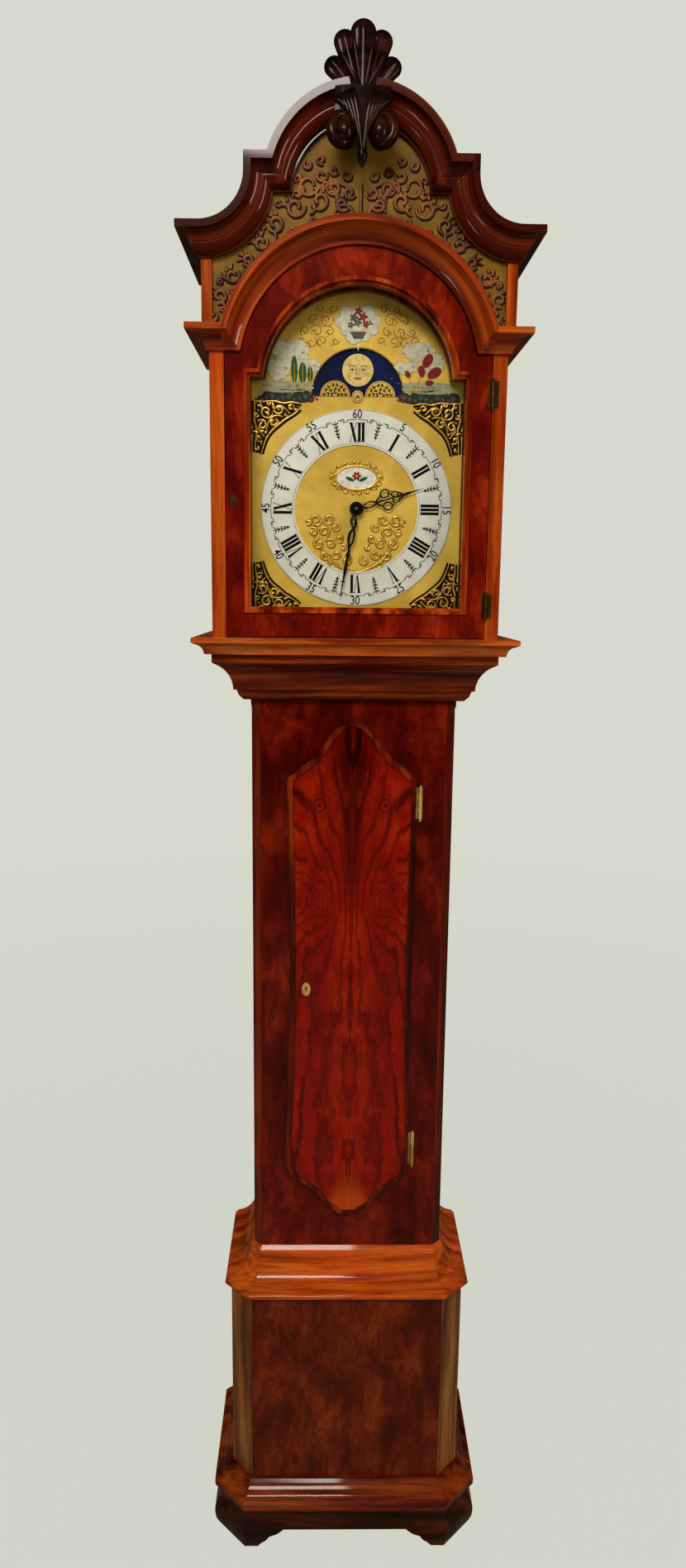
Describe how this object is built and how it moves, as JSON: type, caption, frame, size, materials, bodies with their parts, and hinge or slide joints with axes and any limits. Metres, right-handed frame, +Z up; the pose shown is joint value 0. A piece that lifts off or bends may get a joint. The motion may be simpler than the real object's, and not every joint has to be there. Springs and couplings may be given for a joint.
{
  "type": "longcase clock",
  "caption": "Tall floor-standing pendulum clock: arched brass dial with moon opening, sliding hood, shaped trunk door, canted plinth on bracket feet.",
  "frame": {"origin": "centre of the bounding box on the floor, under the feet", "axes": "+Z up, -Y out of the dial towards the reader, +X to the reader's right"},
  "size_m": [0.4574, 0.262, 2.1469],
  "materials": {
    "red_veneer": "high gloss lacquered veneer",
    "side_wood": "gloss lacquer",
    "moulding_wood": "gloss lacquer",
    "dark_wood": "gloss lacquer",
    "oak": "plain",
    "olive_ground": "satin paint",
    "gilt_fret": "gilded carving",
    "brass": "polished",
    "dial_brass": "matted and lacquered",
    "cast_brass": "gilded castings",
    "silvered": "silvered brass, brushed round",
    "bell_metal": "cast bell metal",
    "steel": "ground steel and brass wheels",
    "hand_metal": "blued steel",
    "moon_paint": "painted",
    "clear_glass": "clear"
  },
  "bodies": {
    "case": {"bracket_feet": "side_wood", "base_moulding": "moulding_wood", "case_floor": "oak", "plinth_front": "red_veneer", "plinth_corners": "side_wood", "plinth_sides": "side_wood", "waist_moulding": "moulding_wood", "trunk_front": "red_veneer", "trunk_corners": "side_wood", "trunk_sides": "side_wood", "back_board": "oak", "throat_moulding": "moulding_wood", "seat_board": "oak", "trunk_hinge_plates": "brass", "dial_plate": "dial_brass", "chapter_ring": "silvered", "dial_castings": "cast_brass", "movement_frame": "brass", "bell": "bell_metal", "free_chains": "brass"},
    "minute_arbor": {"minute_arbor": "steel", "minute_hand": "hand_metal"},
    "hour_wheel": {"hour_wheel": "brass", "hour_hand": "hand_metal"},
    "minute_wheel": {"minute_wheel": "brass"},
    "going_great_wheel": {"going_great_wheel": "brass"},
    "third_wheel": {"third_wheel": "steel"},
    "escape_wheel": {"escape_wheel": "steel"},
    "moon_disc": {"moon_disc": "moon_paint"},
    "strike_great_wheel": {"strike_great_wheel": "brass"},
    "strike_pin_wheel": {"strike_pin_wheel": "steel"},
    "strike_fly": {"strike_fly": "steel"},
    "pallets": {"pallets": "steel"},
    "pendulum": {"pendulum_rod": "steel", "pendulum_bob": "brass"},
    "going_weight": {"going_weight": "brass", "going_chain": "brass"},
    "strike_weight": {"strike_weight": "brass", "strike_chain": "brass"},
    "going_ring": {"going_ring": "brass"},
    "strike_ring": {"strike_ring": "brass"},
    "bell_hammer": {"bell_hammer": "steel"},
    "hood": {"hood_sides": "side_wood", "hood_base_rail": "moulding_wood", "hood_roof": "dark_wood", "hood_mask": "dark_wood", "arch_moulding": "dark_wood", "tympanum_board": "olive_ground", "fretwork": "gilt_fret", "cornice": "dark_wood", "crest_carving": "dark_wood", "hood_hinge_plates": "brass"},
    "hood_door": {"hood_door_frame": "red_veneer", "hood_door_bead": "dark_wood", "hood_door_glass": "clear_glass", "hood_door_brassware": "brass"},
    "trunk_door": {"trunk_door_panel": "red_veneer", "trunk_door_moulding": "moulding_wood", "trunk_door_brassware": "brass"},
    "trunk_lock_bolt": {"trunk_lock_bolt": "steel"}
  },
  "joints": [
    {"name": "minute_spin", "type": "hinge", "parent": "case", "child": "minute_arbor", "pos_m": [0, 0.011, 1.5865], "axis": [0, 1, 0], "continuous": true},
    {"name": "hour_spin", "type": "hinge", "parent": "case", "child": "hour_wheel", "pos_m": [0, -0.029, 1.5865], "axis": [0, 1, 0], "continuous": true},
    {"name": "minute_wheel_spin", "type": "hinge", "parent": "case", "child": "minute_wheel", "pos_m": [-0.021, -0.019, 1.5865], "axis": [0, 1, 0], "continuous": true},
    {"name": "going_great_spin", "type": "hinge", "parent": "case", "child": "going_great_wheel", "pos_m": [0.027, 0.026, 1.54827], "axis": [0, 1, 0], "continuous": true},
    {"name": "third_spin", "type": "hinge", "parent": "case", "child": "third_wheel", "pos_m": [0.02001, 0.006, 1.60722], "axis": [0, 1, 0], "continuous": true},
    {"name": "escape_spin", "type": "hinge", "parent": "case", "child": "escape_wheel", "pos_m": [0, 0.021, 1.62011], "axis": [0, 1, 0], "continuous": true},
    {"name": "moon_spin", "type": "hinge", "parent": "case", "child": "moon_disc", "pos_m": [0, -0.041, 1.731], "axis": [0, 1, 0], "continuous": true},
    {"name": "strike_great_spin", "type": "hinge", "parent": "case", "child": "strike_great_wheel", "pos_m": [-0.027, 0.026, 1.54827], "axis": [0, 1, 0], "continuous": true},
    {"name": "strike_pin_spin", "type": "hinge", "parent": "case", "child": "strike_pin_wheel", "pos_m": [-0.04589, 0.006, 1.59109], "axis": [0, 1, 0], "continuous": true},
    {"name": "strike_fly_spin", "type": "hinge", "parent": "case", "child": "strike_fly", "pos_m": [-0.03795, 0.021, 1.61878], "axis": [0, 1, 0], "continuous": true},
    {"name": "pendulum_swing", "type": "hinge", "parent": "case", "child": "pendulum", "pos_m": [0, 0.095, 1.6484], "axis": [0, 1, 0], "range_deg": [-3, 3]},
    {"name": "pallet_rock", "type": "hinge", "parent": "case", "child": "pallets", "pos_m": [0, 0.031, 1.6484], "axis": [0, 1, 0], "range_deg": [-3, 3]},
    {"name": "going_wind", "type": "slide", "parent": "case", "child": "going_weight", "axis": [0, 0, 1], "range_m": [0, 0.55], "deforming": ["going_chain"]},
    {"name": "going_pull", "type": "slide", "parent": "case", "child": "going_ring", "axis": [0, 0, 1], "range_m": [-0.55, 0]},
    {"name": "strike_wind", "type": "slide", "parent": "case", "child": "strike_weight", "axis": [0, 0, 1], "range_m": [0, 0.55], "deforming": ["strike_chain"]},
    {"name": "strike_pull", "type": "slide", "parent": "case", "child": "strike_ring", "axis": [0, 0, 1], "range_m": [-0.55, 0]},
    {"name": "hammer_lift", "type": "hinge", "parent": "case", "child": "bell_hammer", "pos_m": [-0.052, 0.037, 1.64], "axis": [0, -1, 0], "range_deg": [0, 12], "stiffness_Nm_per_rad": 0.08},
    {"name": "hood_slide", "type": "slide", "parent": "case", "child": "hood", "axis": [0, -1, 0], "range_m": [0, 0.24]},
    {"name": "hood_door_hinge", "type": "hinge", "parent": "hood", "child": "hood_door", "pos_m": [0.1726, -0.0901, 1.6], "axis": [0, 0, 1], "range_deg": [0, 95]},
    {"name": "trunk_door_hinge", "type": "hinge", "parent": "case", "child": "trunk_door", "pos_m": [0.0966, -0.048, 0.9], "axis": [0, 0, 1], "range_deg": [0, 110]},
    {"name": "trunk_bolt_slide", "type": "slide", "parent": "trunk_door", "child": "trunk_lock_bolt", "axis": [-1, 0, 0], "range_m": [0, 0.008]}
  ],
  "couplings": [
    {"joint": "hour_spin", "follows": "minute_spin", "ratio": 0.083333},
    {"joint": "minute_wheel_spin", "follows": "minute_spin", "ratio": -0.33333},
    {"joint": "going_great_spin", "follows": "minute_spin", "ratio": -0.083333},
    {"joint": "third_spin", "follows": "minute_spin", "ratio": -8},
    {"joint": "escape_spin", "follows": "minute_spin", "ratio": 60},
    {"joint": "moon_spin", "follows": "minute_spin", "ratio": 0.00070547},
    {"joint": "strike_pin_spin", "follows": "strike_great_spin", "ratio": -12},
    {"joint": "strike_fly_spin", "follows": "strike_great_spin", "ratio": 96},
    {"joint": "pallet_rock", "follows": "pendulum_swing", "ratio": 1},
    {"joint": "going_pull", "follows": "going_wind", "ratio": -1},
    {"joint": "strike_pull", "follows": "strike_wind", "ratio": -1}
  ]
}
